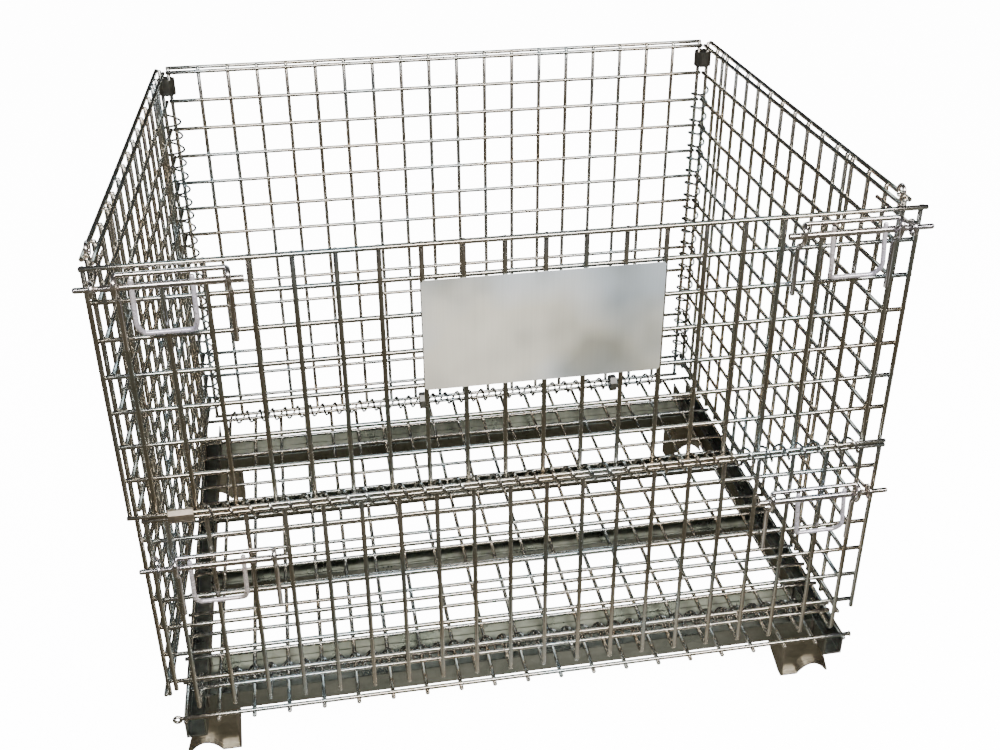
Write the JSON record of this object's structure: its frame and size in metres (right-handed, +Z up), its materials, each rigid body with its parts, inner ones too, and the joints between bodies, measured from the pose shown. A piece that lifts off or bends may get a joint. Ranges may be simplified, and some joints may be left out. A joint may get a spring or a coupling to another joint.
{
  "type": "folding wire mesh container",
  "caption": "Folding wire mesh stacking container: mesh walls and deck on pressed feet, drop gate and swinging side walls with slide bolts.",
  "frame": {"origin": "centre of the footprint at floor level, under the feet", "axes": "+X along the gated front to the right as seen from the front, +Y from the front to the back wall, +Z up"},
  "size_m": [1.048, 0.8505, 0.8529],
  "materials": {
    "zinc_wire": "bright zinc plate",
    "zinc_sheet": "satin zinc plate",
    "galvanised_channel": "galvanised, dull",
    "plated_bolt_steel": "bright zinc plate"
  },
  "bodies": {
    "base_frame": {"deck_mesh": "zinc_wire", "back_panel_mesh": "zinc_wire", "front_lower_mesh": "zinc_wire", "front_lower_flange": "zinc_wire", "hinge_coil_gate": "zinc_wire", "hinge_coil_front_bottom": "zinc_wire", "hinge_coil_back_bottom": "zinc_wire", "hinge_coil_back_left": "zinc_wire", "hinge_coil_back_right": "zinc_wire", "front_cross_channel": "galvanised_channel", "middle_cross_channel_front": "galvanised_channel", "middle_cross_channel_rear": "galvanised_channel", "rear_cross_channel": "galvanised_channel", "side_channel_left": "galvanised_channel", "side_channel_right": "galvanised_channel", "foot_front_left": "galvanised_channel", "foot_front_right": "galvanised_channel", "foot_rear_left": "galvanised_channel", "foot_rear_right": "galvanised_channel", "corner_sleeve_left": "galvanised_channel", "corner_sleeve_right": "galvanised_channel", "back_clip_left": "zinc_sheet", "back_clip_right": "zinc_sheet", "bolt_guide_lower_left": "zinc_wire", "bolt_guide_lower_right": "zinc_wire", "gate_hinge_sleeve": "zinc_sheet"},
    "drop_gate": {"front_gate_mesh": "zinc_wire", "label_plate": "zinc_sheet", "bolt_guide_upper_left": "zinc_wire", "bolt_guide_upper_right": "zinc_wire"},
    "left_side_wall": {"side_panel_mesh_left": "zinc_wire", "bolt_keeper_upper_left": "zinc_wire", "bolt_keeper_lower_left": "zinc_wire", "corner_loop_left": "zinc_wire"},
    "right_side_wall": {"side_panel_mesh_right": "zinc_wire", "bolt_keeper_upper_right": "zinc_wire", "bolt_keeper_lower_right": "zinc_wire", "corner_loop_right": "zinc_wire"},
    "upper_left_bolt": {"slide_bolt_upper_left": "plated_bolt_steel"},
    "upper_left_handle": {"bolt_handle_upper_left": "plated_bolt_steel"},
    "upper_right_bolt": {"slide_bolt_upper_right": "plated_bolt_steel"},
    "upper_right_handle": {"bolt_handle_upper_right": "plated_bolt_steel"},
    "lower_left_bolt": {"slide_bolt_lower_left": "plated_bolt_steel"},
    "lower_left_handle": {"bolt_handle_lower_left": "plated_bolt_steel"},
    "lower_right_bolt": {"slide_bolt_lower_right": "plated_bolt_steel"},
    "lower_right_handle": {"bolt_handle_lower_right": "plated_bolt_steel"}
  },
  "joints": [
    {"name": "gate_drop", "type": "hinge", "parent": "base_frame", "child": "drop_gate", "pos_m": [0.0005, -0.4047, 0.488], "axis": [1, 0, 0], "range_deg": [0, 135]},
    {"name": "left_side_swing", "type": "hinge", "parent": "base_frame", "child": "left_side_wall", "pos_m": [-0.473, 0.4078, 0.481], "axis": [0, 0, 1], "range_deg": [0, 91]},
    {"name": "right_side_swing", "type": "hinge", "parent": "base_frame", "child": "right_side_wall", "pos_m": [0.487, 0.4078, 0.481], "axis": [0, 0, -1], "range_deg": [0, 78]},
    {"name": "upper_left_bolt_slide", "type": "slide", "parent": "drop_gate", "child": "upper_left_bolt", "axis": [1, 0, 0], "range_m": [0, 0.034]},
    {"name": "upper_left_handle_lift", "type": "hinge", "parent": "upper_left_bolt", "child": "upper_left_handle", "pos_m": [-0.477, -0.4132, 0.814], "axis": [-1, 0, 0], "range_deg": [0, 95]},
    {"name": "upper_right_bolt_slide", "type": "slide", "parent": "drop_gate", "child": "upper_right_bolt", "axis": [-1, 0, 0], "range_m": [0, 0.034]},
    {"name": "upper_right_handle_lift", "type": "hinge", "parent": "upper_right_bolt", "child": "upper_right_handle", "pos_m": [0.473, -0.4132, 0.813], "axis": [-1, 0, 0], "range_deg": [0, 95]},
    {"name": "lower_left_bolt_slide", "type": "slide", "parent": "base_frame", "child": "lower_left_bolt", "axis": [1, 0, 0], "range_m": [0, 0.034]},
    {"name": "lower_left_handle_lift", "type": "hinge", "parent": "lower_left_bolt", "child": "lower_left_handle", "pos_m": [-0.464, -0.4132, 0.4075], "axis": [-1, 0, 0], "range_deg": [0, 95]},
    {"name": "lower_right_bolt_slide", "type": "slide", "parent": "base_frame", "child": "lower_right_bolt", "axis": [-1, 0, 0], "range_m": [0, 0.034]},
    {"name": "lower_right_handle_lift", "type": "hinge", "parent": "lower_right_bolt", "child": "lower_right_handle", "pos_m": [0.477, -0.4132, 0.4085], "axis": [-1, 0, 0], "range_deg": [0, 95]}
  ]
}
